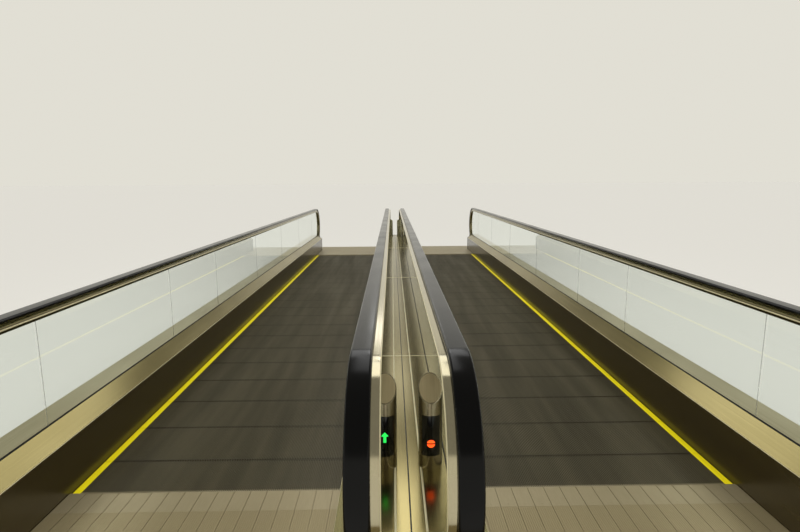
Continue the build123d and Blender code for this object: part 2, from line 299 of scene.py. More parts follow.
@dataclass(frozen=True)
class CoatedCasting(Patterned):
    """Die-cast aluminium under a dark coating: fine cast grain, cleat tops rubbed paler."""

    # colour that the castings take right next to each joint
    dirt: str = "#1b1914"
    metallic: float = 0.35
    roughness: float = 0.46
    reach: Point2 = (0.12, 0.42)
    swing: Point2 = (0.04, -0.04)
    relief_mm: float = 0.05
    grain_mm: Point3 = (2.0, 2.0, 2.0)
    detail: float = 2.0
    track_mm: Point3 = (110.0, 1400.0, 110.0)
    track_detail: float = 3.0
    joint_pitch_mm: float = 400.0
    # distances from a joint over which its darker colour fades out
    dirt_mm: Point2 = (5.0, 15.0)
    # share of the cast colour left at the joint itself
    surface_share_at_joint: float = 0.25

    def noises(self, tree: Tree) -> tuple[Socket, Socket, Socket]:
        """Add cast grain for relief, long wear tracks for gloss, and both for colour.

        Args:
            tree: The node tree.

        Returns:
            Noises for colour, gloss and relief.
        """
        grain, _, _ = super().noises(tree)
        track = add_texture(tree, "ShaderNodeTexNoise", self.track_mm,
                            Detail=self.track_detail)
        wear = add_node(tree, "ShaderNodeMath", {0: grain, 1: track}, operation="MULTIPLY")
        return wear.outputs[0], track, grain

    def pattern(self, tree: Tree, shader: bpy.types.Node) -> None:
        """Darken the colour within a few millimetres of each joint, fading out away from it.

        Args:
            tree: The node tree.
            shader: The surface shader.
        """
        super().pattern(tree, shader)
        place = add_node(tree, "ShaderNodeTexCoord").outputs["Object"]
        along = add_node(tree, "ShaderNodeSeparateXYZ", {0: place}).outputs["Y"]
        pitches = add_node(tree, "ShaderNodeMath", {
            0: along, 1: 1 / (self.joint_pitch_mm * MM)}, operation="MULTIPLY")
        apart = add_node(tree, "ShaderNodeMath", {
            0: pitches.outputs[0], 1: 0.5}, operation="PINGPONG")
        near, far = (length / self.joint_pitch_mm for length in self.dirt_mm)
        surface_share = add_node(tree, "ShaderNodeMapRange", {
            "Value": apart.outputs[0], "From Min": near, "From Max": far,
            "To Min": self.surface_share_at_joint})
        worn = shader.inputs["Base Color"].links[0].from_socket
        surface = add_node(tree, "ShaderNodeMix", {
            0: surface_share.outputs[0], 6: linear(self.dirt), 7: worn}, data_type="RGBA")
        tree.links.new(surface.outputs[2], shader.inputs["Base Color"])


@dataclass(frozen=True)
class Moulded(Patterned):
    """Moulded rubber or plastic: smooth skin with a slight ripple and dusty patches."""

    second: str = "#1c1b19"
    reach: Point2 = (0.4, 0.75)
    swing: Point2 = (-0.03, 0.06)
    relief_mm: float = 0.05


@dataclass(frozen=True)
class SignalLight(Finish):
    """A lamp board behind a dark window: dots of light on an even glow."""

    glow: str = "#ffffff"
    strength: float = 1.0
    dot_mm: float = 2.5
    dot_edge: Point2 = (0.1, 0.6)
    dim_share: float = 0.55

    def pattern(self, tree: Tree, shader: bpy.types.Node) -> None:
        """Dim the glow between the dots.

        Args:
            tree: The node tree.
            shader: The surface shader.
        """
        dots = add_texture(tree, "ShaderNodeTexVoronoi", (self.dot_mm,) * 3, Randomness=0.0)
        level = add_node(tree, "ShaderNodeMapRange", {
            "Value": dots, "From Min": self.dot_edge[0], "From Max": self.dot_edge[1],
            "To Min": self.strength, "To Max": self.strength * self.dim_share})
        shader.inputs["Emission Color"].default_value = linear(self.glow)
        tree.links.new(level.outputs[0], shader.inputs["Emission Strength"])


# matt and grainy, a little paler where soles rub the cleats, darker next to each joint
PALLET = CoatedCasting("die_cast_pallet_dark_coating", "#544e3a", "pallet_metal", second="#756d53",
                       dirt="#433e30")
# one strong colour all through, with a soft shine
YELLOW = Moulded("yellow_polycarbonate_edge", "#fff116", "yellow_edge", roughness=0.38,
                 second="#fbe914", grain_mm=(30.0, 200.0, 30.0))
# pale and dull, as a bead-blasted casting is
COMB = BrushedMetal("cast_comb_aluminium", "#b4a785", "comb_metal", second="#aa9d7b",
                    metallic=0.6, roughness=0.38, grain_mm=(5.0, 60.0, 5.0))
# dull, with long faint marks from the die
LANDING = BrushedMetal("extruded_floor_aluminium", "#ad9f79", "landing_metal", second="#a39571",
                       metallic=0.6, roughness=0.38, grain_mm=(6.0, 900.0, 6.0))
# flat grey primer with a fine orange peel
FRAME = Moulded("primed_frame_steel", "#4c4f51", "frame_steel", roughness=0.55,
                second="#3a3c3d", grain_mm=(9.0, 9.0, 9.0))
# smooth and near-black with a satin sheen, and faint rub marks two metres long
SKIRT = Patterned("low_friction_skirt_coating", "#362c14", "dark_skirt", roughness=0.24,
                  second="#3f3519", grain_mm=(70.0, 2400.0, 70.0), detail=1.0,
                  extra=(("Coat Weight", 0.2), ("Coat Roughness", 0.2)))
# bright, with long soft reflections
DECK = BrushedMetal("brushed_stainless_deck", "#a69a69", "brushed_deck", second="#8b7f52",
                    roughness=0.2, grain_mm=(4.0, 1200.0, 4.0), relief_mm=0.0)
# rougher than the inner decks, from feet and trolleys; paler and less metallic than them, as
# painted reflection of the bright ceiling in the flat sheet
OUTER_DECK = BrushedMetal("brushed_stainless_outer_deck", "#d0c6a3", "brushed_deck",
                          second="#ab9f7a", metallic=0.7, roughness=0.3,
                          grain_mm=(5.0, 1200.0, 5.0), relief_mm=0.0)
# satin, with the brushing just visible
CLADDING = BrushedMetal("brushed_stainless_cladding", "#b9b2a0", "brushed_deck",
                        second="#ada693", roughness=0.34)
# almost a mirror
POLISHED = BrushedMetal("polished_stainless_profile", "#c6bd9f", "polished_guide",
                        second="#bfb698", roughness=0.12, grain_mm=(8.0, 1500.0, 8.0),
                        relief_mm=0.0)
# polished stainless and glossy; its colour is made dark and olive as painted shade and painted
# olive reflection
GUIDE = BrushedMetal("guide_steel_with_painted_shade", "#7a7254", "polished_guide", second="#726a4d",
                     roughness=0.14, grain_mm=(8.0, 1500.0, 8.0), relief_mm=0.0)
# pale and barely metallic, so that each bead shows as a thin bright line along the darker metal: a
# painted highlight
BEAD = BrushedMetal("bead_pale_as_painted_highlight", "#e6dcb4", "brushed_deck", second="#d8cea6",
                    metallic=0.3, roughness=0.3, grain_mm=(4.0, 900.0, 4.0), relief_mm=0.0)
# deep black and glossy, with soft highlights
RUBBER = Moulded("glossy_handrail_rubber", "#030303", "handrail_rubber", roughness=0.17,
                 second="#050505", grain_mm=(300.0, 300.0, 300.0), relief_mm=0.005,
                 extra=(("Specular IOR Level", 0.2),))
# dull black with fine upright lines; the hairs are drawn 1.5 mm thick to show
BRISTLE = Moulded("black_nylon_bristle", "#0e0e0e", "moulded_cap", roughness=0.75,
                  second="#262522", grain_mm=(1.5, 40.0, 1.5), relief_mm=0.4)
# dull dark line
GASKET = Moulded("black_gasket_rubber", "#141412", "moulded_cap", roughness=0.6,
                 second="#23221f", grain_mm=(6.0, 40.0, 6.0))
# fine moulded texture, half matt
CAP = Moulded("moulded_black_cap", "#1a1a1b", "moulded_cap", roughness=0.48,
              second="#2a2927", grain_mm=(3.0, 3.0, 3.0))
# grey and half matt
CLAMP = BrushedMetal("extruded_clamp_aluminium", "#a8a8a4", "clamp_profile",
                     second="#83837f", roughness=0.42)
# clear, with the pale green of float glass
GLASS = Finish("tempered_clear_glass", "#f4faf6", "clear_glass", roughness=0.0,
               extra=(("Transmission Weight", 1.0), ("IOR", 1.45)))
# milky between the clear panels
SEALANT = Finish("clear_silicone_joint", "#e3ebdf", "clear_glass", roughness=0.3,
                 extra=(("Transmission Weight", 0.55), ("IOR", 1.41)))
# brushed upright, so that the highlights stand upright too
POST = BrushedMetal("brushed_post_tube", "#b3a88d", "post_steel", second="#978d74",
                    roughness=0.24, grain_mm=(1.0, 1.0, 90.0))
# brushed up the slope, softer than the tube
POST_TOP = BrushedMetal("brushed_post_top", "#c9b88e", "post_steel", second="#b5a57e",
                        metallic=0.6, roughness=0.32, grain_mm=(6.0, 160.0, 160.0),
                        relief_mm=0.0)
# black and mirror smooth
WINDOW = Moulded("black_acrylic_window", "#050505", "dark_window", roughness=0.06,
                 second="#080808", grain_mm=(80.0, 80.0, 80.0), relief_mm=0.005)
ARROW = SignalLight("green_signal_light", "#0d3b1a", "dark_window", glow="#2dff62",
                    strength=1.6)
DISC = SignalLight("orange_signal_light", "#3b140a", "dark_window", glow="#ff5418",
                   strength=2.8)


def circle(middle: Point2, radius: float, steps: int) -> list[Point2]:
    """Points of a circle.

    Args:
        middle: Its middle.
        radius: Its radius.
        steps: Number of points.

    Returns:
        The points, anticlockwise.
    """
    turns = [2 * math.pi * step / steps for step in range(steps)]
    return [(middle[0] + radius * math.cos(turn), middle[1] + radius * math.sin(turn))
            for turn in turns]


class MeshSketch:
    """Collects vertices and faces of one piece and turns them into an object."""

    sharp_angle = math.radians(32)
    head_profile = ((1.0, 0.0), (1.0, 0.5), (0.82, 0.9), (0.6, 1.0))

    def __init__(self, shading: Shading = Shading.WIDE_FACES_FLAT) -> None:
        """Start an empty mesh.

        Args:
            shading: Its kind of shading.
        """
        self.shading = shading
        self.points: list[Point3] = []
        self.faces: list[tuple[int, ...]] = []

    def rings(self, rings: Sequence[Sequence[Point3]], closed_run: bool = False) -> None:
        """Skin a run of closed rings with the same number of points, and cap its ends.

        Args:
            rings: Rings of points, in order.
            closed_run: Whether the last ring joins the first, which leaves out the caps.
        """
        base, count = len(self.points), len(rings[0])
        for ring in rings:
            self.points.extend(ring)
        for run in range(len(rings) if closed_run else len(rings) - 1):
            here = base + run * count
            there = base + (run + 1) % len(rings) * count
            for side in range(count):
                after = (side + 1) % count
                self.faces.append((here + side, here + after, there + after, there + side))
        if not closed_run:
            last = base + (len(rings) - 1) * count
            self.faces.append(tuple(base + corner for corner in range(count)))
            self.faces.append(tuple(last + corner for corner in reversed(range(count))))

    def prism_y(self, outline: Sequence[Point2], start: float, stop: float) -> None:
        """Run an (x, z) outline along Y."""
        self.rings([[(x, y, z) for x, z in outline] for y in (start, stop)])

    def prism_x(self, outline: Sequence[Point2], start: float, stop: float) -> None:
        """Run a (y, z) outline along X."""
        self.rings([[(x, y, z) for y, z in outline] for x in (start, stop)])

    def disc(self, foot: Point3, radius: float, height: float, sides: int = 20) -> None:
        """Add a low round screw head with a rounded edge.

        Args:
            foot: Middle of its foot.
            radius: Its radius.
            height: Its height.
            sides: Number of its sides.
        """
        self.rings([[(x, y, foot[2] + height * rise)
                     for x, y in circle(foot[:2], radius * share, sides)]
                    for share, rise in self.head_profile])

    def piece(self, name: str, finish: Finish, replaces: Sequence[str] = ()) -> bpy.types.Object:
        """Make the object, dress it and let it ride on the walkway.

        Args:
            name: Name of the piece.
            finish: Its finish.
            replaces: CAD nodes that it stands for.

        Returns:
            The new object.
        """
        mesh = bpy.data.meshes.new(name)
        mesh.from_pydata(self.points, [], self.faces)
        work = bmesh.new()
        work.from_mesh(mesh)
        bmesh.ops.recalc_face_normals(work, faces=work.faces)
        for face in work.faces:
            face.smooth = True
        for edge in work.edges:
            edge.smooth = edge.calc_face_angle(math.pi) < self.sharp_angle
        work.to_mesh(mesh)
        work.free()
        mesh.materials.append(finish.material())
        thing = bpy.data.objects.new(name, mesh)
        bpy.context.scene.collection.objects.link(thing)
        self.weigh_normals(thing)
        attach(thing, "root")
        if replaces:
            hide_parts(*replaces)
        log.info("%s: %d faces", name, len(mesh.polygons))
        return thing

    def weigh_normals(self, thing: bpy.types.Object) -> None:
        """Weigh the normals by area, so that a flat face beside a rounded edge looks flat.

        Args:
            thing: The object.
        """
        weighing = thing.modifiers.new("weighed_normals", "WEIGHTED_NORMAL")
        weighing.weight = self.shading.value
        weighing.keep_sharp = True
        with bpy.context.temp_override(object=thing, active_object=thing):
            bpy.ops.object.modifier_apply(modifier=weighing.name)


def round_corners(corners: Sequence[tuple[float, float, float]], steps: int = 5) -> list[Point2]:
    """Round the corners of an outline.

    Args:
        corners: (x, z, radius) of each corner, in order.
        steps: Points in each rounded corner, less one.

    Returns:
        The outline's points.
    """
    outline: list[Point2] = []
    count = len(corners)
    for number, (x, z, radius) in enumerate(corners):
        here = Vector((x, z))
        if radius <= 0:
            outline.append((x, z))
            continue
        before = (Vector(corners[number - 1][:2]) - here).normalized()
        after = (Vector(corners[(number + 1) % count][:2]) - here).normalized()
        half = before.angle(after) / 2
        centre = here + (before + after).normalized() * (radius / math.sin(half))
        first = here + before * (radius / math.tan(half)) - centre
        turn = -math.copysign(math.pi - 2 * half, before.cross(after))
        for step in range(steps + 1):
            angle = turn * step / steps
            cos, sin = math.cos(angle), math.sin(angle)
            outline.append((centre.x + first.x * cos - first.y * sin,
                            centre.y + first.x * sin + first.y * cos))
    return outline


@dataclass(frozen=True)
class Layout:
    """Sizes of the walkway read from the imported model, in metres."""

    @staticmethod
    def span(node: str, axis: int) -> Point2:
        """Lowest and highest coordinate of a node on one axis."""
        low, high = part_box(node)
        return low[axis], high[axis]

    @property
    def pallet_top(self) -> float:
        """Height of the cleat tops."""
        return self.span("left_pallets", 2)[1]

    @property
    def landing_top(self) -> float:
        """Height of the landing plates."""
        return self.span("left_landing_plates", 2)[1]

    @property
    def deck_top(self) -> float:
        """Height of the centre deck and the outer decks."""
        return self.span("centre_deck_plates", 2)[1]

    @property
    def housing_half(self) -> float:
        """Distance of the housings' ends from the middle, along Y."""
        return self.span("centre_deck_plates", 1)[1]

    @staticmethod
    def inner_end(node: str) -> float:
        """Distance of a node's inner end from the middle, along Y."""
        return min(abs(vertex.co.y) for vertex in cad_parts[node].data.vertices)

    def lane_edges(self, lane: Lane) -> Point2:
        """Lowest and highest X of a lane's pallets."""
        return self.span(f"{lane.word}_pallets", 0)

    def plane(self, lane: Lane, row: Row) -> float:
        """X of the middle of a glass row."""
        low, high = self.span(f"{lane.word}_{row.word}_glass", 0)
        return (low + high) / 2


@dataclass(frozen=True)
class LoopPath:
    """The stadium-shaped line that a handrail follows round one balustrade.

    Attributes:
        plane: X of the balustrade.
        arc_centre: Distance of the newel centres from the middle, along Y.
        arc_height: Height of the newel centres.
        radius: Distance from the newel centre to the top of the rubber.
    """

    plane: float
    arc_centre: float
    arc_height: float
    radius: float
    bend_steps: int = 40
    straight_steps: int = 12

    @classmethod
    def of(cls, layout: Layout, lane: Lane, row: Row) -> "LoopPath":
        """Read the path of one balustrade from its CAD handrail.

        Args:
            layout: Sizes of the walkway.
            lane: The lane.
            row: The glass row.

        Returns:
            The path.
        """
        low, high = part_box(f"{lane.word}_{row.word}_handrail")
        radius = (high.z - low.z) / 2
        return cls(layout.plane(lane, row), high.y - radius, high.z - radius, radius)

    def spot(self, across: float, depth: float, angle: float, along: float) -> Point3:
        """A point of the section at an angle round a newel, or along the straight."""
        reach = self.radius - depth
        return (self.plane + across, along + reach * math.sin(angle),
                self.arc_height + reach * math.cos(angle))

    def rings(self, outline: Sequence[Point2], whole: bool,
              trim_angle: float = math.pi) -> list[list[Point3]]:
        """Carry a section along the loop.

        Args:
            outline: (offset from the plane, depth below the top of the rubber) points.
            whole: Whether the run closes below, as a handrail does.
            trim_angle: Angle at which an open run ends on each newel.

        Returns:
            One ring for each step of the run.
        """
        stations: list[Point2] = []
        for step in range(self.bend_steps + 1):
            stations.append((-trim_angle * (1 - step / self.bend_steps), -self.arc_centre))
        for step in range(1, self.straight_steps):
            share = step / self.straight_steps
            stations.append((0.0, self.arc_centre * (2 * share - 1)))
        for step in range(self.bend_steps + 1):
            stations.append((trim_angle * step / self.bend_steps, self.arc_centre))
        if whole:
            for step in range(1, self.straight_steps):
                share = step / self.straight_steps
                stations.append((math.pi, self.arc_centre * (1 - 2 * share)))
        return [[self.spot(across, depth, angle, along) for across, depth in outline]
                for angle, along in stations]


@dataclass
class PalletBand:
    """The pallets of one lane at the real cleat pitch, with their yellow edge inserts."""

    layout: Layout
    lane: Lane
    yellow_width: float = 40 * MM
    yellow_depth: float = 12 * MM
    joint: float = 4 * MM
    pitch: float = 400 * MM
    cleat_pitch: float = 9.43 * MM
    groove_share: float = 0.6
    groove_depth: float = 11 * MM
    yellow_groove_depth: float = 2 * MM

    def cleats(self, low_x: float, high_x: float, low_z: float, depth: float) -> list[Point2]:
        """Outline of a slab with cleats on top.

        Args:
            low_x: Left edge.
            high_x: Right edge.
            low_z: Underside.
            depth: Depth of the grooves.

        Returns:
            Points of the outline, anticlockwise from the lower left.
        """
        top = self.layout.pallet_top
        count = max(1, round((high_x - low_x) / self.cleat_pitch))
        pitch = (high_x - low_x) / count
        half = pitch * self.groove_share / 2
        outline = [(low_x, low_z), (high_x, low_z), (high_x, top)]
        for number in reversed(range(count)):
            middle = low_x + pitch * (number + 0.5)
            outline += [(middle + half, top), (middle + half, top - depth),
                        (middle - half, top - depth), (middle - half, top)]
        outline.append((low_x, top))
        return outline

    def build(self) -> None:
        """Make the castings and the yellow inserts of the lane."""
        low_x, high_x = self.layout.lane_edges(self.lane)
        low_y, high_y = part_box(f"{self.lane.word}_comb_pallets")
        low_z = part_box(f"{self.lane.word}_pallets")[0].z
        count = round((high_y.y - low_y.y) / self.pitch)
        start = (low_y.y + high_y.y - count * self.pitch) / 2
        shelf = self.layout.pallet_top - self.yellow_depth
        inner_low, inner_high = low_x + self.yellow_width, high_x - self.yellow_width
        body = self.cleats(inner_low, inner_high, low_z, self.groove_depth)
        body = [(low_x, low_z), (high_x, low_z), (high_x, shelf), (inner_high, shelf)] + body[2:]
        body += [(inner_low, shelf), (low_x, shelf)]
        castings, inserts = MeshSketch(), MeshSketch()
        edges = [self.cleats(x0, x1, shelf, self.yellow_groove_depth)
                 for x0, x1 in ((low_x, inner_low), (inner_high, high_x))]
        for number in range(count):
            near = start + number * self.pitch + self.joint / 2
            far = near + self.pitch - self.joint
            castings.prism_y(body, near, far)
            for edge in edges:
                inserts.prism_y(edge, near, far)
        word = self.lane.word
        castings.piece(f"{word}_pallet_castings", PALLET,
                       (f"{word}_pallets", f"{word}_comb_pallets"))
        inserts.piece(f"{word}_yellow_inserts", YELLOW, ("yellow_pallet_edges",))


@dataclass
class CombEnd:
    """The comb plate of one lane at one end, in narrow segments with fine teeth."""

    layout: Layout
    band: PalletBand
    end: End
    segments: int = 17
    segment_gap: float = 3 * MM
    tooth_clearance: float = 0.7 * MM
    tip_height: float = 6 * MM
    tooth_length: float = 30 * MM
    slope_run: float = 45 * MM
    running_gap: float = 2 * MM
    joint_depth: float = 5 * MM
    screw_radius: float = 4 * MM
    screw_setback: float = 24 * MM
    screw_rise: float = 0.6 * MM

    def build(self, sketch: MeshSketch, screws: MeshSketch) -> None:
        """Add the comb's segments, their teeth and their screws.

        Args:
            sketch: Mesh of the combs of this lane.
            screws: Mesh of the screw heads.
        """
        node = f"{self.band.lane.word}_combs"
        sign = self.end.value
        low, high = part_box(node)
        tip, back, top, floor = self.layout.inner_end(node), high.y, high.z, low.z
        under = self.layout.pallet_top + self.running_gap
        root, slope_end = tip + self.tooth_length, tip + self.slope_run
        tip_top = floor + self.tip_height
        lip = tip_top + (top - tip_top) * self.tooth_length / self.slope_run
        body = [(root, under), (root, lip), (slope_end, top), (back, top), (back, under)]
        base_top = top - self.joint_depth
        base = [(root, under), (root, base_top), (back, base_top), (back, under)]
        sketch.prism_x([(sign * y, z) for y, z in base], low.x, high.x)
        width = (high.x - low.x) / self.segments
        for number in range(self.segments):
            x0 = low.x + number * width + (self.segment_gap / 2 if number else 0.0)
            last = number == self.segments - 1
            x1 = low.x + (number + 1) * width - (0.0 if last else self.segment_gap / 2)
            sketch.prism_x([(sign * y, z) for y, z in body], x0, x1)
            place = ((x0 + x1) / 2, sign * (back - self.screw_setback), top)
            screws.disc(place, self.screw_radius, self.screw_rise)
        inner_low = low.x + self.band.yellow_width
        inner_high = high.x - self.band.yellow_width
        count = round((inner_high - inner_low) / self.band.cleat_pitch)
        pitch = (inner_high - inner_low) / count
        half = pitch * self.band.groove_share / 2 - self.tooth_clearance
        tooth = [(tip, floor), (tip, tip_top), (root, lip), (root, floor)]
        for number in range(count):
            middle = inner_low + pitch * (number + 0.5)
            sketch.prism_x([(sign * y, z) for y, z in tooth], middle - half, middle + half)


@dataclass
class LandingPlates:
    """The landing plates of one lane: extruded planks with fine ribs and dark joints."""

    layout: Layout
    lane: Lane
    planks: int = 17
    joint: float = 3 * MM
    joint_depth: float = 5 * MM
    ribs: int = 8
    rib_depth: float = 0.8 * MM
    valley_share: float = 0.22

    def outline(self, low_x: float, high_x: float, low_z: float, high_z: float) -> list[Point2]:
        """Outline of a row of ribbed planks.

        Args:
            low_x: Left edge.
            high_x: Right edge.
            low_z: Underside.
            high_z: Rib tops.

        Returns:
            Points of the outline.
        """
        plank = (high_x - low_x) / self.planks
        valley = plank / self.ribs * self.valley_share
        bottom, floor = high_z - self.joint_depth, high_z - self.rib_depth
        points = [(low_x, low_z), (high_x, low_z)]
        for number in reversed(range(self.planks)):
            right = low_x + (number + 1) * plank - self.joint / 2
            left = right - plank + self.joint
            points += [(right, bottom), (right, high_z)]
            for step in range(1, self.ribs):
                crest = right - step * (plank - self.joint) / self.ribs
                points += [(crest + valley / 2, high_z), (crest + valley / 4, floor),
                           (crest - valley / 4, floor), (crest - valley / 2, high_z)]
            points += [(left, high_z), (left, bottom)]
        return points

    def build(self) -> None:
        """Make the planks of both ends."""
        node = f"{self.lane.word}_landing_plates"
        low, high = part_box(node)
        inner = self.layout.inner_end(node)
        sketch = MeshSketch()
        for end in End:
            sketch.prism_y(self.outline(low.x, high.x, low.z, high.z),
                           end.value * inner, end.value * high.y)
        sketch.piece(f"{self.lane.word}_landing_planks", LANDING, (node,))


@dataclass
class Balustrade:
    """Glass joints, gaskets, handrail and guides of one glass row."""

    layout: Layout
    lane: Lane
    row: Row
    rubber_half: float = 40 * MM
    rubber_height: float = 20 * MM
    crown: float = 1.2 * MM
    shoulder: float = 10 * MM
    lip: float = 5 * MM
    guide_half: float = 32 * MM
    guide_neck: float = 25 * MM
    guide_foot: float = 22 * MM
    flare_share: float = 0.3
    bulge_share: float = 0.62
    guide_steps: int = 16
    strip_sheet: float = 4 * MM
    strip_edge: float = 1.92 * MM
    edge_bead: float = 2.4 * MM
    guide_bead: float = 4 * MM
    bead_steps: int = 12
    widest_joint: float = 10 * MM
    glass_top_play: float = 1 * MM
    joint_inset: float = 1 * MM
    joint_play: float = 0.15 * MM
    joint_seat: float = 2 * MM
    newel_reach: float = 500 * MM
    gasket_mm: tuple[Point2, ...] = ((0, -6), (2, -6), (2, 0), (2.6, 1.6), (1.6, 3.2), (0, 4))

    @property
    def word(self) -> str:
        """Start of the names of this row's nodes."""
        return f"{self.lane.word}_{self.row.word}"

    @property
    def path(self) -> LoopPath:
        """The line of this row's handrail."""
        return LoopPath.of(self.layout, self.lane, self.row)

    def sweep(self, name: str, finish: Finish, *outlines: Sequence[Point2], node: str = "",
              whole: bool = False, shading: Shading = Shading.WIDE_FACES_FLAT) -> None:
        """Run sections along the handrail's line and make one piece of them.

        Args:
            name: Name of the piece.
            finish: Its finish.
            outlines: The sections.
            node: CAD node that the piece stands for.
            whole: Whether the run closes below the deck.
            shading: Its kind of shading.
        """
        sketch = MeshSketch(shading)
        for outline in outlines:
            sketch.rings(self.path.rings(outline, whole), closed_run=whole)
        sketch.piece(name, finish, (node,) if node else ())

    def handrail(self) -> None:
        """Make the rubber with rounded shoulders and a slight crown."""
        half, height, crown = self.rubber_half, self.rubber_height, self.crown
        outline = round_corners([
            (-half, crown, self.shoulder), (0.0, 0.0, 0.0), (half, crown, self.shoulder),
            (half, height, self.lip), (-half, height, self.lip)], steps=6)
        self.sweep(f"{self.word}_rubber", RUBBER, outline, node=f"{self.word}_handrail",
                   whole=True)

    def guide_width(self, share: float) -> float:
        """Half width of the guide at a share of its height, from the rubber down.

        Args:
            share: 0 under the rubber and 1 at the glass.

        Returns:
            The distance from the plane: a straight neck, a flare to the bulge, and a turn inwards.
        """
        if share < self.bulge_share:
            rise = max(0.0, (share - self.flare_share) / (self.bulge_share - self.flare_share))
            return self.guide_neck + (self.guide_half - self.guide_neck) * rise * rise
        fall = (share - self.bulge_share) / (1 - self.bulge_share)
        return self.guide_foot + (self.guide_half - self.guide_foot) * math.sqrt(1 - fall * fall)

    def guide(self) -> None:
        """Make the guide between the rubber and the glass, with a bead on each side."""
        path, top, steps = self.path, self.rubber_height, self.guide_steps
        bottom = path.arc_height + path.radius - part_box(f"{self.word}_glass")[1].z
        side = [(self.guide_width(step / steps), top + (bottom - top) * step / steps)
                for step in range(steps + 1)]
        outline = side + [(-x, depth) for x, depth in reversed(side)]
        self.sweep(f"{self.word}_polished_guide", GUIDE, outline,
                   node=f"{self.word}_handrail_guide", shading=Shading.CURVED_SECTION)
        across = self.guide_half - self.guide_bead / 2
        crest = top + (bottom - top) * self.bulge_share
        beads = [circle((out * across, crest), self.guide_bead, self.bead_steps)
                 for out in (-1, 1)]
        self.sweep(f"{self.word}_guide_beads", BEAD, *beads, shading=Shading.CURVED_SECTION)

    def strip(self) -> None:
        """Make the polished strip beside an inner handrail, with a bead along its edge."""
        node = f"{self.lane.word}_inner_handrail_trim"
        low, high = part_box(node)
        side, sheet, edge = -self.lane.value, self.strip_sheet, self.strip_edge
        top = self.path.arc_height + self.path.radius - high.z
        near, far = self.guide_neck, self.guide_half + high.x - low.x
        corners = [(near, top, 0), (far, top, edge), (far, top + sheet, edge),
                   (near, top + sheet, 0)]
        outline = round_corners([(side * x, z, r) for x, z, r in corners], steps=3)
        self.sweep(f"{self.lane.word}_centre_side_strip", POLISHED, outline, node=node)
        bead = circle((side * (far - self.edge_bead), top), self.edge_bead, self.bead_steps)
        self.sweep(f"{self.lane.word}_strip_edge_bead", BEAD, bead,
                   shading=Shading.CURVED_SECTION)

    def joints(self, sketch: MeshSketch) -> None:
        """Add the strips that fill the joints between glass panels.

        Args:
            sketch: Mesh of the strips.
        """
        node = f"{self.word}_glass"
        low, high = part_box(node)
        left, right = low.x + self.joint_inset, high.x - self.joint_inset
        edges = sorted({round(v.co.y, 5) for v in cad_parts[node].data.vertices
                        if v.co.z > high.z - self.glass_top_play
                        and abs(v.co.y) < high.y - self.newel_reach})
        for before, after in zip(edges, edges[1:]):
            if after - before < self.widest_joint:
                near, far = before + self.joint_play, after - self.joint_play
                sketch.rings([[(left, near, z), (right, near, z), (right, far, z),
                               (left, far, z)]
                              for z in (self.layout.deck_top - self.joint_seat, high.z)])

    def gaskets(self, sketch: MeshSketch) -> None:
        """Add the rubber beads between the glass and the decks on both sides.

        Args:
            sketch: Mesh of the beads.
        """
        low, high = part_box(f"{self.word}_glass")
        length, deck = self.layout.housing_half, self.layout.deck_top
        for face, out in ((low.x, -1), (high.x, 1)):
            sketch.prism_y([(face + out * x * MM, deck + z * MM) for x, z in self.gasket_mm],
                           -length, length)

    def build(self, joints: MeshSketch, gaskets: MeshSketch) -> None:
        """Make everything of this row.

        Args:
            joints: Mesh of the joint strips.
            gaskets: Mesh of the gaskets.
        """
        self.handrail()
        self.guide()
        if self.row is Row.INNER:
            self.strip()
        self.joints(joints)
        self.gaskets(gaskets)


@dataclass
class HandrailInlet:
    """The brush and its frame where a handrail goes back into the end cap of its housing."""

    layout: Layout
    lane: Lane
    row: Row
    end: End
    play: float = 6 * MM
    frame_width: float = 9 * MM
    frame_rise: float = 3 * MM
    frame_seat: float = 1 * MM
    frame_corner: float = 7.2 * MM
    brush_setback: float = 3 * MM
    brush_depth: float = 3 * MM
    brush_clearance: float = 1.5 * MM
    brush_corner: float = 9 * MM
    rubber_half: float = 40 * MM
    guide_top: float = 70 * MM
    strip_half: float = 72 * MM
    strip_top: float = 20 * MM

    def height(self, path: LoopPath, depth: float, reach: float) -> float:
        """Height at which a depth of the rail's section crosses the face of the cap."""
        return path.arc_height - math.sqrt((path.radius - depth) ** 2 - reach ** 2)

    def build(self, frames: MeshSketch, brushes: MeshSketch) -> None:
        """Add the frame round the opening and the bristles that close it.

        Args:
            frames: Mesh of the frames.
            brushes: Mesh of the bristles.
        """
        path = LoopPath.of(self.layout, self.lane, self.row)
        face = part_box("handrail_inlet_caps")[1].y
        reach = face - path.arc_centre
        inner = self.row is Row.INNER
        right = self.rubber_half + self.play
        left = -self.strip_half - self.play if inner else -right
        low = path.arc_height - path.radius - self.play
        high = self.height(path, 0.0, reach) + self.guide_top + self.play
        width, side, sign = self.frame_width, self.lane.value, self.end.value
        corner, turn = self.frame_corner, self.brush_corner
        around = [(left - width, high, 0), (left - width, low - width, corner),
                  (right + width, low - width, corner), (right + width, high, 0),
                  (right, high, 0), (right, low, 0), (left, low, 0), (left, high, 0)]
        hole = self.rubber_half + self.brush_clearance
        below = self.height(path, -self.brush_clearance, reach)
        strip = self.height(path, self.strip_top, reach) if inner else high
        fill = [(left, low, 0), (right, low, 0), (right, high, 0), (hole, high, 0),
                (hole, below, turn), (-hole, below, turn), (-hole, strip, 0),
                (left, strip, 0)]
        for sketch, corners, near, far in (
                (frames, around, face - self.frame_seat, face + self.frame_rise),
                (brushes, fill, face - self.brush_setback - self.brush_depth,
                 face - self.brush_setback)):
            outline = round_corners([(path.plane + side * x, z, r) for x, z, r in corners],
                                    steps=4)
            sketch.prism_y(outline, sign * near, sign * far)


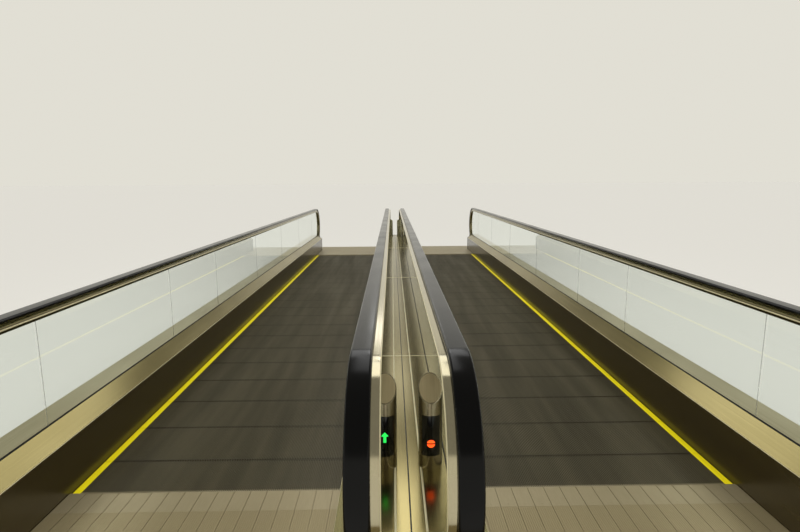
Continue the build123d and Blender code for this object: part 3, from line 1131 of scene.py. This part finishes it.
@dataclass
class DeckSheets:
    """The steel sheets on top of the housings, with open butt joints and rolled edges."""

    layout: Layout
    joints: tuple[float, ...] = (-3.275, -0.275, 2.725)
    joint_gap: float = 2 * MM
    sheet: float = 4 * MM
    nose: float = 6 * MM
    nose_radius: float = 3 * MM
    nose_overhang: float = 2 * MM
    glass_gap: float = 2 * MM
    edge_radius: float = 1.2 * MM
    cover_half: float = 55 * MM
    cover_seam: float = 1.8 * MM
    bead_half: float = 4 * MM
    bead_rise: float = 2.2 * MM
    bead_seat: float = 1 * MM
    bead_steps: int = 8
    nose_bead: float = 2.2 * MM
    nose_steps: int = 10

    def runs(self) -> list[Point2]:
        """Find where each sheet starts and stops between the joints.

        Returns:
            Start and stop of each sheet along Y.
        """
        length, half = self.layout.housing_half, self.joint_gap / 2
        places = [-length, *self.joints, length]
        return [(a + (half if a in self.joints else 0), b - (half if b in self.joints else 0))
                for a, b in zip(places, places[1:])]

    def lay(self, sketch: MeshSketch, outline: Sequence[Point2]) -> None:
        """Lay sheets with one outline along the whole length."""
        for start, stop in self.runs():
            sketch.prism_y(outline, start, stop)

    def sloping(self, lane: Lane) -> None:
        """Make the two sloping sheets of a lane, from the top of the skirt to the glass.

        Args:
            lane: The lane.
        """
        sketch, noses = MeshSketch(), MeshSketch()
        top, sheet, roll = self.layout.deck_top, self.sheet, self.nose_bead
        for row in Row:
            skirt_low, skirt_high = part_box(f"{lane.word}_{row.word}_skirt")
            glass_low, glass_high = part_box(f"{lane.word}_{row.word}_glass")
            out = lane.value * row.value
            face = skirt_low.x if out > 0 else skirt_high.x
            glass = glass_low.x if out > 0 else glass_high.x
            start, stop = face - out * self.nose_overhang, glass - out * self.glass_gap
            base = skirt_high.z
            back = face + out * (skirt_high.x - skirt_low.x)
            slope = (top - base - self.nose) / abs(stop - start)
            under = base + self.nose + slope * abs(back - start) - sheet
            self.lay(sketch, round_corners([
                (start, base, self.edge_radius), (start, base + self.nose, self.nose_radius),
                (stop, top, self.edge_radius), (stop, top - sheet, 0), (back, under, 0),
                (back, base, 0)], steps=4))
            middle = (start + out * roll / 2, base + self.nose - roll)
            self.lay(noses, circle(middle, roll, self.nose_steps))
        sketch.piece(f"{lane.word}_sloping_sheets", DECK, (f"{lane.word}_sloping_decks",))
        noses.piece(f"{lane.word}_rolled_noses", BEAD)

    def flat(self, sketch: MeshSketch, low_x: float, high_x: float) -> None:
        """Lay flat sheets between two edges, with rounded upper corners.

        Args:
            sketch: Mesh of the sheets.
            low_x: Left edge.
            high_x: Right edge.
        """
        top, radius = self.layout.deck_top, self.edge_radius
        self.lay(sketch, round_corners([
            (low_x, top - self.sheet, 0), (high_x, top - self.sheet, 0), (high_x, top, radius),
            (low_x, top, radius)], steps=3))

    def bead(self, middle: float) -> list[Point2]:
        """Outline of a low round bead on the deck.

        Args:
            middle: Place of its middle across its own length.

        Returns:
            Points of the outline.
        """
        half, top, steps = self.bead_half, self.layout.deck_top, self.bead_steps
        arc = [(middle + half * math.cos(turn), top + self.bead_rise * math.sin(turn))
               for turn in (math.pi * step / steps for step in range(steps + 1))]
        seat = top - self.bead_seat
        return [(middle - half, seat), (middle + half, seat)] + arc

    def build(self) -> None:
        """Make all the sheets and the beads along and across the centre deck."""
        outer, plates, covers, beads = (MeshSketch() for _ in range(4))
        edge, reach = (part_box(node)[1].x for node in ("outer_decks", "centre_deck_plates"))
        length, cover, seam = self.layout.housing_half, self.cover_half, self.cover_seam
        for lane in Lane:
            self.sloping(lane)
            glass = self.layout.span(f"{lane.word}_outer_glass", 0)
            outside = max(abs(x) for x in glass) + self.glass_gap
            for sketch, near, far in ((outer, outside, edge), (plates, cover + seam, reach),
                                      (covers, seam, cover - seam)):
                self.flat(sketch, *sorted((lane.value * near, lane.value * far)))
            beads.prism_y(self.bead(lane.value * cover), -length, length)
        inside, outside = cover - self.bead_half, cover + self.bead_half
        for joint in self.joints:
            for start, stop in ((-reach, -outside), (-inside, inside), (outside, reach)):
                beads.prism_x(self.bead(joint), start, stop)
        outer.piece("outer_deck_sheets", OUTER_DECK, ("outer_decks",))
        plates.piece("centre_deck_sheets", DECK, ("centre_deck_plates",))
        covers.piece("centre_cover_sheets", DECK, ("centre_cover_plates",))
        beads.piece("centre_deck_beads", BEAD)


@dataclass
class Cladding:
    """Outside panels of the housings, hung on a dark backing with open joints."""

    layout: Layout
    panel: float = 1.5
    joint: float = 3 * MM
    sheet: float = 3 * MM
    backing: float = 1.2 * MM
    plinth: float = 60 * MM
    deck_sheet: float = 4 * MM
    sill_drop: float = 12 * MM
    edge_radius: float = 1 * MM

    def build(self) -> None:
        """Make the panels of both sides and the low sills past their ends."""
        low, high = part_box("outer_claddings")
        length, radius = self.layout.housing_half, self.edge_radius
        top = self.layout.deck_top - self.deck_sheet
        sill = self.layout.landing_top - self.sill_drop
        heights = ((low.z, low.z + self.plinth - self.joint), (low.z + self.plinth, top))
        count = round(2 * length / self.panel)
        pitch = 2 * length / count
        panels, backs = MeshSketch(), MeshSketch()
        for lane in Lane:
            x0, x1 = lane.value * (high.x - self.sheet), lane.value * (
                high.x - self.sheet + self.backing)
            x2 = lane.value * high.x
            backs.prism_y([(x0, low.z), (x1, low.z), (x1, top), (x0, top)], -length, length)
            for number in range(count):
                start = -length + number * pitch + self.joint / 2
                for z0, z1 in heights:
                    outline = round_corners([
                        (x1, z0, 0), (x2, z0, radius), (x2, z1, radius), (x1, z1, 0)], 2)
                    panels.prism_y(outline, start, start + pitch - self.joint)
            for end in End:
                panels.prism_y([(x0, low.z), (x2, low.z), (x2, sill), (x0, sill)],
                               end.value * length, end.value * high.y)
        panels.piece("outer_cladding_panels", CLADDING, ("outer_claddings",))
        backs.piece("outer_cladding_backing", FRAME)


@dataclass
class SignalPost:
    """One post of the centre deck: tube, slanted top, black window and lit sign."""

    layout: Layout
    lane: Lane
    end: End
    signal: Signal
    radius: float = 50 * MM
    front_height: float = 295 * MM
    rim: float = 2.5 * MM
    sides: int = 72
    window_low: float = 63 * MM
    window_high: float = 241 * MM
    window_half: float = 37 * MM
    window_proud: float = 0.5 * MM
    window_seat: float = 2 * MM
    window_steps: int = 18
    arrow_middle: float = 150 * MM
    arrow_half: float = 16 * MM
    arrow_shaft: float = 6 * MM
    arrow_low: float = -23 * MM
    arrow_neck: float = 4 * MM
    arrow_tip: float = 23 * MM
    disc_middle: float = 119 * MM
    disc_radius: float = 17 * MM
    disc_bar: float = 2.6 * MM
    disc_steps: int = 16
    arrow_edge: float = 0.2 * MM
    disc_edge: float = 0.05 * MM

    @property
    def axis(self) -> Point2:
        """X and Y of the post's axis."""
        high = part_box("signal_posts")[1]
        return (self.lane.value * (high.x - self.radius), self.end.value * (high.y - self.radius))

    def round_point(self, angle: float, radius: float, z: float) -> Point3:
        """Find a point round the post.

        Args:
            angle: Angle about the axis; 0 faces the approaching rider.
            radius: Distance from the axis.
            z: Height above the deck.

        Returns:
            The point.
        """
        x, y = self.axis
        return (x + radius * math.sin(angle), y + self.end.value * radius * math.cos(angle),
                self.layout.deck_top + z)

    def top_at(self, angle: float, radius: float) -> float:
        """Height of the slanted top above the deck at a point round the post."""
        return self.front_height + self.radius - radius * math.cos(angle)

    def tube(self, sketch: MeshSketch, tops: MeshSketch) -> None:
        """Add the tube with its rounded rim, and the slanted top that is let into it.

        Args:
            sketch: Mesh of the tubes.
            tops: Mesh of the slanted tops.
        """
        angles = [2 * math.pi * turn / self.sides for turn in range(self.sides)]
        face, inner, rim = self.radius, self.radius - self.rim, self.rim
        profile = ((face, 0.0, 0.0), (face, 1.0, -rim), (face - rim * 0.3, 1.0, -rim * 0.3),
                   (inner, 1.0, 0.0), (inner - rim * 0.5, 1.0, -rim * 0.6))
        sketch.rings([[self.round_point(a, r, share * self.top_at(a, r) + drop) for a in angles]
                      for r, share, drop in profile])
        seat = inner - rim * 0.5
        tops.rings([[self.round_point(a, r, self.top_at(a, r) + drop) for a in angles]
                    for r, drop in ((seat, -rim), (seat, -rim * 0.3), (seat - rim, 0.0))])

    def columns(self, sketch: MeshSketch, columns: Sequence[Point3]) -> None:
        """Add a thin patch bent round the post.

        Args:
            sketch: Mesh that takes the patch.
            columns: (distance round the face, lower height, upper height) of each column.
        """
        back, front = self.radius, self.radius + 2 * self.window_proud
        sketch.rings([[self.round_point(across / self.radius, r, z)
                       for r, z in ((back, low), (front, low), (front, high), (back, high))]
                      for across, low, high in columns])

    def window(self, sketch: MeshSketch) -> None:
        """Add the curved black window, just proud of the tube.

        Args:
            sketch: Mesh of the windows.
        """
        steps, reach = self.window_steps, math.asin(self.window_half / self.radius)
        front, back = self.radius + self.window_proud, self.radius - self.window_seat
        corners = [(back, self.window_low), (front, self.window_low),
                   (front, self.window_high), (back, self.window_high)]
        sketch.rings([[self.round_point(reach * (2 * step / steps - 1), r, z)
                       for r, z in corners] for step in range(steps + 1)])

    def sign(self, sketch: MeshSketch) -> None:
        """Add the lit arrow or disc on the window."""
        draw = self.arrow if self.signal is Signal.ENTER_ARROW else self.disc
        draw(sketch)

    def arrow(self, sketch: MeshSketch) -> None:
        """Add the arrow: an even shaft, and a head that falls off to both sides.

        Args:
            sketch: Mesh of the arrows.
        """
        shaft, neck = self.arrow_shaft, self.arrow_middle + self.arrow_neck
        rise = self.arrow_tip - self.arrow_neck
        self.columns(sketch, [(x, self.arrow_middle + self.arrow_low, neck)
                              for x in (-shaft, -shaft / 3, shaft / 3, shaft)])
        self.columns(sketch, [(self.arrow_half * share, neck,
                               neck + rise * (1 - abs(share)) + self.arrow_edge)
                              for share in (step / 4 for step in range(-4, 5))])

    def disc(self, sketch: MeshSketch) -> None:
        """Add the disc as two halves, below and above its dark bar.

        Args:
            sketch: Mesh of the discs.
        """
        middle, radius, bar = self.disc_middle, self.disc_radius, self.disc_bar
        reach = math.sqrt(radius * radius - bar * bar)
        for side in (-1, 1):
            columns = []
            for step in range(self.disc_steps + 1):
                across = reach * math.sin(math.pi * (step / self.disc_steps - 0.5))
                edge = math.sqrt(radius * radius - across * across)
                low, high = sorted((middle + side * bar, middle + side * edge))
                columns.append((across, low, high + self.disc_edge))
            self.columns(sketch, columns)


@dataclass
class Walkway:
    """The whole installation."""

    layout: Layout = field(default_factory=Layout)
    glass_rows: tuple[tuple[Lane, Row], ...] = tuple((a, b) for a in Lane for b in Row)

    def dress(self, finish: Finish, *nodes: str) -> None:
        """Give carried-over CAD nodes a finish.

        Args:
            finish: The finish.
            nodes: Names of the nodes.
        """
        for node in nodes:
            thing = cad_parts[node]
            for place in thing.material_slots:
                place.material = finish.material()
            log.info("%s dressed in %s", node, finish.name)

    def carried_over(self) -> None:
        """Dress the CAD nodes that stay."""
        self.dress(CLADDING, "end_fascias")
        self.dress(LANDING, "newel_floor_plates")
        self.dress(FRAME, "left_base_frame", "right_base_frame", "track_rails",
                   "landing_bearers", "centre_spine")
        self.dress(CLAMP, "inner_glass_clamps", "outer_glass_clamps")
        self.dress(CAP, "handrail_inlet_caps")
        for lane, row in self.glass_rows:
            self.dress(SKIRT, f"{lane.word}_{row.word}_skirt")
            glass = f"{lane.word}_{row.word}_glass"
            self.dress(GLASS, glass)
            # clear glass lets the light through to the lanes
            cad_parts[glass].visible_shadow = False

    def posts(self) -> None:
        """Make the four posts with their windows and signs."""
        tubes, tops, windows = (MeshSketch() for _ in range(3))
        lit = {signal: MeshSketch() for signal in Signal}
        for end in End:
            for lane in Lane:
                entering = lane.value == end.value
                signal = Signal.ENTER_ARROW if entering else Signal.NO_ENTRY_DISC
                post = SignalPost(self.layout, lane, end, signal)
                post.tube(tubes, tops)
                post.window(windows)
                post.sign(lit[signal])
        tubes.piece("post_tubes", POST, ("signal_posts",))
        tops.piece("post_slanted_tops", POST_TOP)
        windows.piece("post_black_windows", WINDOW, ("post_windows",))
        lit[Signal.ENTER_ARROW].piece("green_arrows", ARROW)
        lit[Signal.NO_ENTRY_DISC].piece("orange_discs", DISC)

    def build(self) -> None:
        """Build every sub-assembly in order."""
        self.carried_over()
        screws = MeshSketch()
        for lane in Lane:
            band = PalletBand(self.layout, lane)
            band.build()
            combs = MeshSketch()
            for end in End:
                CombEnd(self.layout, band, end).build(combs, screws)
            combs.piece(f"{lane.word}_comb_segments", COMB, (f"{lane.word}_combs",))
            LandingPlates(self.layout, lane).build()
        screws.piece("comb_screws", COMB)
        joints, gaskets = MeshSketch(), MeshSketch()
        for lane, row in self.glass_rows:
            Balustrade(self.layout, lane, row).build(joints, gaskets)
        frames, brushes = MeshSketch(), MeshSketch()
        for lane, row in self.glass_rows:
            for end in End:
                HandrailInlet(self.layout, lane, row, end).build(frames, brushes)
        frames.piece("inlet_frames", CAP)
        brushes.piece("inlet_brushes", BRISTLE)
        joints.piece("glass_joint_strips", SEALANT)
        gaskets.piece("deck_gaskets", GASKET)
        DeckSheets(self.layout).build()
        Cladding(self.layout).build()
        self.posts()


@dataclass(frozen=True)
class SoftLamp:
    """A soft rectangular lamp overhead that shines straight down.

    Attributes:
        name: Name of the lamp.
        place: Its middle.
        size: Its width and its length along Y.
        power: Its power in watts.
    """

    name: str
    place: Point3
    size: Point2
    power: float

    def light(self) -> bpy.types.Light:
        """Make the light.

        Returns:
            The new area light.
        """
        light = bpy.data.lights.new(self.name, "AREA")
        light.shape = "RECTANGLE"
        light.size, light.size_y = self.size
        light.energy = self.power
        return light


@dataclass
class Studio:
    """Pale floor that runs into the backdrop, even soft light and soft lamps overhead."""

    floor_half: float = 900.0
    floor_drop: float = 1 * MM
    surround_colour: str = "#fffcf0"
    horizon_strength: float = 0.755
    horizon_height: float = 0.315
    zenith_strength: float = 0.28
    zenith_height: float = 0.37
    fill_strength: float = 1.85
    fill_spread: float = math.radians(120)
    fill_place: Point3 = (0.0, 0.0, 6.0)
    # matt paint without any shine
    paint: Finish = Finish("pale_studio_paint", "#e8e6e0", "", roughness=1.0,
                           extra=(("Specular IOR Level", 0.0),))
    lamps: tuple[SoftLamp, ...] = (
        SoftLamp("lamp_over_centre", (0.0, -0.6, 3.6), (0.4, 1.8), 9.0),
        SoftLamp("lamp_over_near_newels", (0.0, -3.2, 3.4), (0.9, 1.8), 8.0),
        SoftLamp("lamp_over_far_newels", (0.0, 3.2, 3.4), (0.9, 1.8), 8.0),
        SoftLamp("lamp_over_left_lane", (-0.75, 0.2, 4.2), (1.0, 3.2), 14.0),
        SoftLamp("lamp_over_right_lane", (0.75, 0.2, 4.2), (1.0, 3.2), 14.0))

    def build(self) -> None:
        """Make the floor, the surround, the fill and the lamps."""
        half, down = self.floor_half, -self.floor_drop
        mesh = bpy.data.meshes.new("studio_floor")
        mesh.from_pydata([(-half, -half, down), (half, -half, down), (half, half, down),
                          (-half, half, down)], [], [(0, 1, 2, 3)])
        mesh.materials.append(self.paint.material())
        floor = bpy.data.objects.new("studio_floor", mesh)
        bpy.context.scene.collection.objects.link(floor)
        self.surround()
        fill = bpy.data.lights.new("soft_fill", "SUN")
        fill.energy, fill.angle = self.fill_strength, self.fill_spread
        self.hang(fill, self.fill_place).visible_glossy = False
        for lamp in self.lamps:
            self.hang(lamp.light(), lamp.place)

    def surround(self) -> None:
        """Make the surround: an even pale backdrop up to its height, and a darker ceiling."""
        world = bpy.data.worlds.new("studio_surround")
        world.use_nodes = True
        tree = world.node_tree
        tree.nodes.clear()
        ray = add_node(tree, "ShaderNodeTexCoord").outputs["Generated"]
        height = add_node(tree, "ShaderNodeSeparateXYZ", {0: ray}).outputs["Z"]
        level = add_node(tree, "ShaderNodeMapRange", {
            "Value": height, "From Min": self.horizon_height, "From Max": self.zenith_height,
            "To Min": self.horizon_strength, "To Max": self.zenith_strength})
        light = add_node(tree, "ShaderNodeBackground", {
            "Color": linear(self.surround_colour), "Strength": level.outputs[0]})
        add_node(tree, "ShaderNodeOutputWorld", {"Surface": light.outputs[0]})
        bpy.context.scene.world = world

    def hang(self, light: bpy.types.Light, place: Point3) -> bpy.types.Object:
        """Put a light in the scene, out of the camera's sight.

        Args:
            light: The light.
            place: Where it hangs.

        Returns:
            The light's object.
        """
        thing = bpy.data.objects.new(light.name, light)
        thing.location = place
        thing.visible_camera = False
        bpy.context.scene.collection.objects.link(thing)
        return thing


@dataclass
class PhotoCamera:
    """The camera at the photograph's viewpoint, solved from the lane lines and pallet joints."""

    place: Point3 = (-0.058, -6.705, 1.692)
    down_degrees: float = 9.23
    right_degrees: float = 0.84
    roll_degrees: float = -0.34
    focal_pixels: float = 513.0
    frame_pixels: float = 800.0
    sensor: float = 36.0
    sight: float = 600.0

    def build(self) -> None:
        """Make the camera and use it."""
        data = bpy.data.cameras.new("photo_camera")
        data.sensor_width = self.sensor
        data.lens = self.focal_pixels / self.frame_pixels * self.sensor
        data.clip_end = self.sight
        thing = bpy.data.objects.new("photo_camera", data)
        thing.location = self.place
        turn = (Matrix.Rotation(-math.radians(self.right_degrees), 3, "Z")
                @ Matrix.Rotation(math.radians(90 - self.down_degrees), 3, "X")
                @ Matrix.Rotation(math.radians(self.roll_degrees), 3, "Z"))
        thing.rotation_euler = turn.to_euler()
        bpy.context.scene.collection.objects.link(thing)
        bpy.context.scene.camera = thing


def main() -> None:
    """Build the walkway, the studio and the camera."""
    logging.basicConfig(level=logging.INFO, format="%(name)s %(message)s")
    bpy.context.scene.view_settings.view_transform = "Standard"
    Walkway().build()
    Studio().build()
    PhotoCamera().build()


if __name__ == "__main__":
    main()
